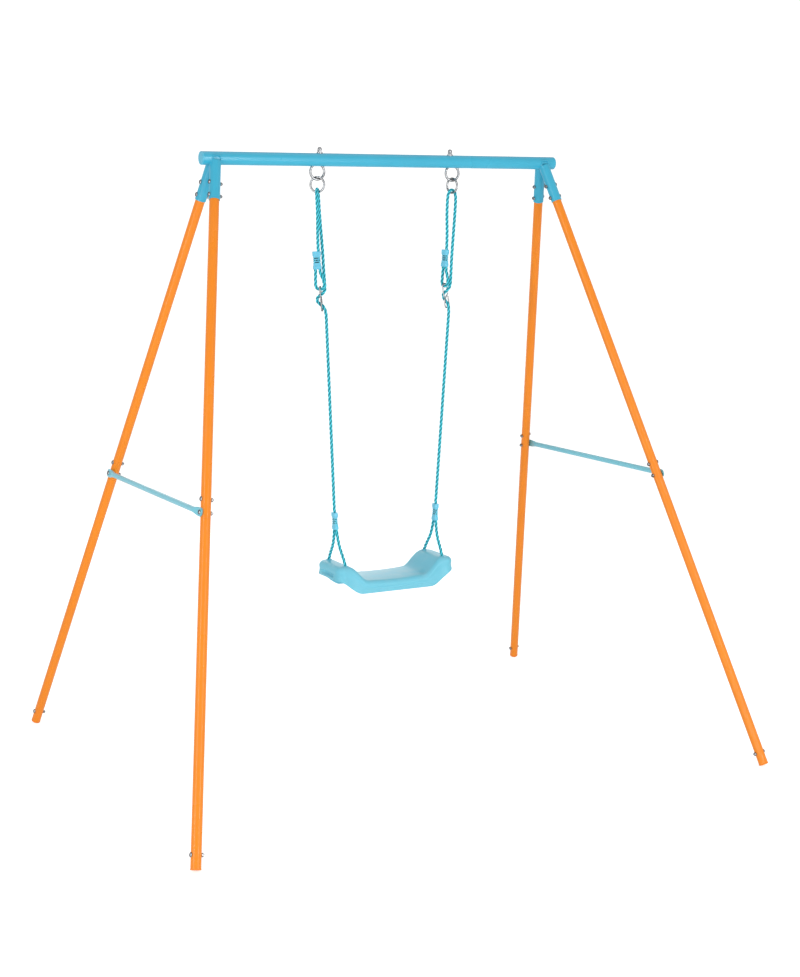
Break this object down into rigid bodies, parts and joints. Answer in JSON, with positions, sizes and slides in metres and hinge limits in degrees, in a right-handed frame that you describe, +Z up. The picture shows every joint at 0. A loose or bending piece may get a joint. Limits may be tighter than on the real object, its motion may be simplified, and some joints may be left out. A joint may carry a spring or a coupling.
{
  "type": "swing set",
  "caption": "Free-standing garden swing: a round beam on splayed tubular A-frames, with a moulded seat on adjustable twisted ropes that swings fore and aft.",
  "frame": {"origin": "on the ground under the middle of the beam", "axes": "+Z up, +X along the beam, -Y the front that the seated rider faces"},
  "size_m": [1.8396, 1.4596, 1.8226],
  "materials": {
    "beam_paint": "gloss powder coat",
    "leg_paint": "gloss powder coat",
    "brace_paint": "gloss powder coat",
    "blue_plastic": "moulded",
    "orange_plastic": "moulded",
    "zinc_steel": "bright zinc plate",
    "rope_fibre": "twisted polypropylene",
    "ferrule_plastic": "moulded",
    "seat_plastic": "moulded polyethylene, fine grain"
  },
  "bodies": {
    "frame": {"top_beam": "beam_paint", "left_beam_cap": "blue_plastic", "left_side_brace": "brace_paint", "left_eye_bolt": "zinc_steel", "front_left_socket": "beam_paint", "front_left_upper_leg": "leg_paint", "front_left_lower_leg": "leg_paint", "front_left_foot_cap": "orange_plastic", "rear_left_socket": "beam_paint", "rear_left_upper_leg": "leg_paint", "rear_left_lower_leg": "leg_paint", "rear_left_foot_cap": "orange_plastic", "right_beam_cap": "blue_plastic", "right_side_brace": "brace_paint", "right_eye_bolt": "zinc_steel", "front_right_socket": "beam_paint", "front_right_upper_leg": "leg_paint", "front_right_lower_leg": "leg_paint", "front_right_foot_cap": "orange_plastic", "rear_right_socket": "beam_paint", "rear_right_upper_leg": "leg_paint", "rear_right_lower_leg": "leg_paint", "rear_right_foot_cap": "orange_plastic", "eye_bolt_washers": "zinc_steel", "eye_bolt_nuts": "zinc_steel", "socket_bolts": "zinc_steel", "socket_nuts": "zinc_steel", "leg_joint_bolts": "zinc_steel", "leg_joint_nuts": "zinc_steel", "foot_bolts": "zinc_steel", "foot_nuts": "zinc_steel"},
    "left_ring": {"left_hanger_ring": "zinc_steel"},
    "right_ring": {"right_hanger_ring": "zinc_steel"},
    "left_rope": {"left_main_rope": "rope_fibre", "left_upper_ferrule": "ferrule_plastic", "left_rope_adjuster": "zinc_steel"},
    "right_rope": {"right_main_rope": "rope_fibre", "right_upper_ferrule": "ferrule_plastic", "right_rope_adjuster": "zinc_steel"},
    "seat": {"seat": "seat_plastic", "seat_grommets": "seat_plastic", "left_bridle_rope": "rope_fibre", "right_bridle_rope": "rope_fibre", "left_lower_ferrule": "ferrule_plastic", "right_lower_ferrule": "ferrule_plastic"}
  },
  "joints": [
    {"name": "left_ring_swing", "type": "hinge", "parent": "frame", "child": "left_ring", "pos_m": [-0.224, 0, 1.73], "axis": [1, 0, 0], "range_deg": [-45, 45]},
    {"name": "left_rope_swing", "type": "hinge", "parent": "left_ring", "child": "left_rope", "pos_m": [-0.224, 0, 1.6938], "axis": [1, 0, 0], "range_deg": [-10, 10]},
    {"name": "right_ring_swing", "type": "hinge", "parent": "frame", "child": "right_ring", "pos_m": [0.224, 0, 1.73], "axis": [1, 0, 0], "range_deg": [-45, 45]},
    {"name": "right_rope_swing", "type": "hinge", "parent": "right_ring", "child": "right_rope", "pos_m": [0.224, 0, 1.6938], "axis": [1, 0, 0], "range_deg": [-10, 10]},
    {"name": "seat_tilt", "type": "hinge", "parent": "left_rope", "child": "seat", "pos_m": [-0.17334, 0, 0.746], "axis": [1, 0, 0], "range_deg": [-15, 15]}
  ],
  "couplings": [
    {"joint": "right_ring_swing", "follows": "left_ring_swing", "ratio": 1},
    {"joint": "right_rope_swing", "follows": "left_rope_swing", "ratio": 1}
  ]
}
